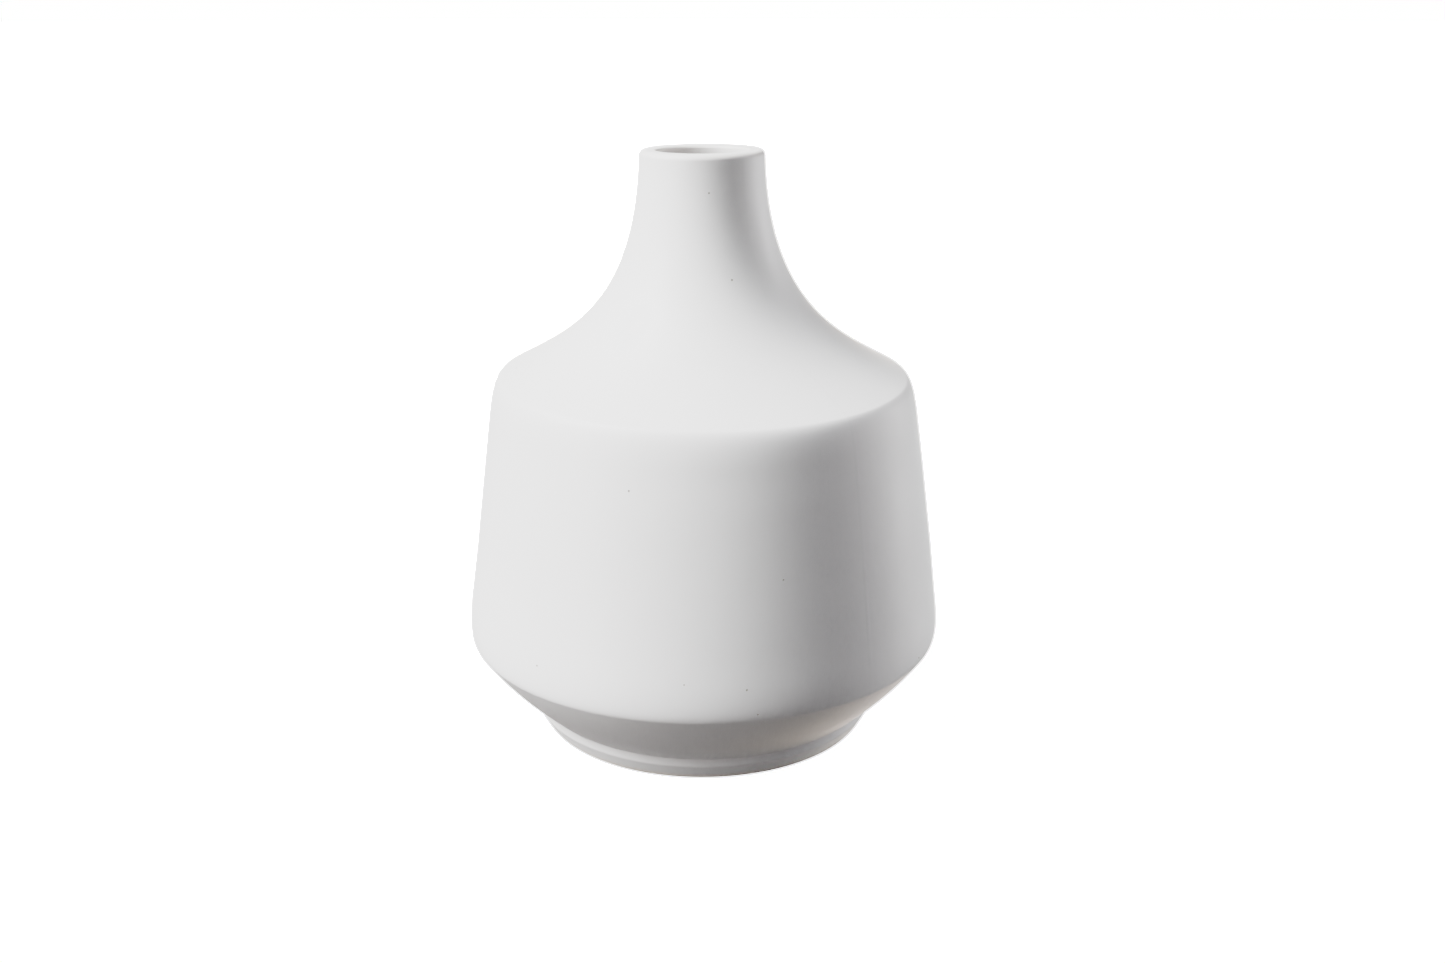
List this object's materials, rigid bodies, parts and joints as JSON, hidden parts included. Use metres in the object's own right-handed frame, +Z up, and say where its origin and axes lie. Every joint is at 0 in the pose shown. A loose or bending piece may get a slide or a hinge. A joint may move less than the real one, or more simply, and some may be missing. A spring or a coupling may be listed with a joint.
{
  "type": "bud vase",
  "caption": "Slip-cast ceramic bud vase: a tapered body with a crisp shoulder and a slim flared neck, on a recessed ring foot, satin-glazed white.",
  "frame": {"origin": "on the vase's axis, at the surface it stands on", "axes": "+Z up along the vase's axis, out of its mouth; it is round, so +X and +Y are free"},
  "size_m": [0.1166, 0.1166, 0.14],
  "materials": {
    "bare_clay": "bare fired clay, fine and dry",
    "outer_glaze": "white satin-matt glaze",
    "liner_glaze": "white glaze, a little glossier, on the inside",
    "foot_recess_glaze": "white satin-matt glaze inside the foot ring"
  },
  "bodies": {
    "root": {"clay_body": "bare_clay", "outer_glaze": "outer_glaze", "liner_glaze": "liner_glaze", "foot_recess_glaze": "foot_recess_glaze"}
  },
  "joints": []
}
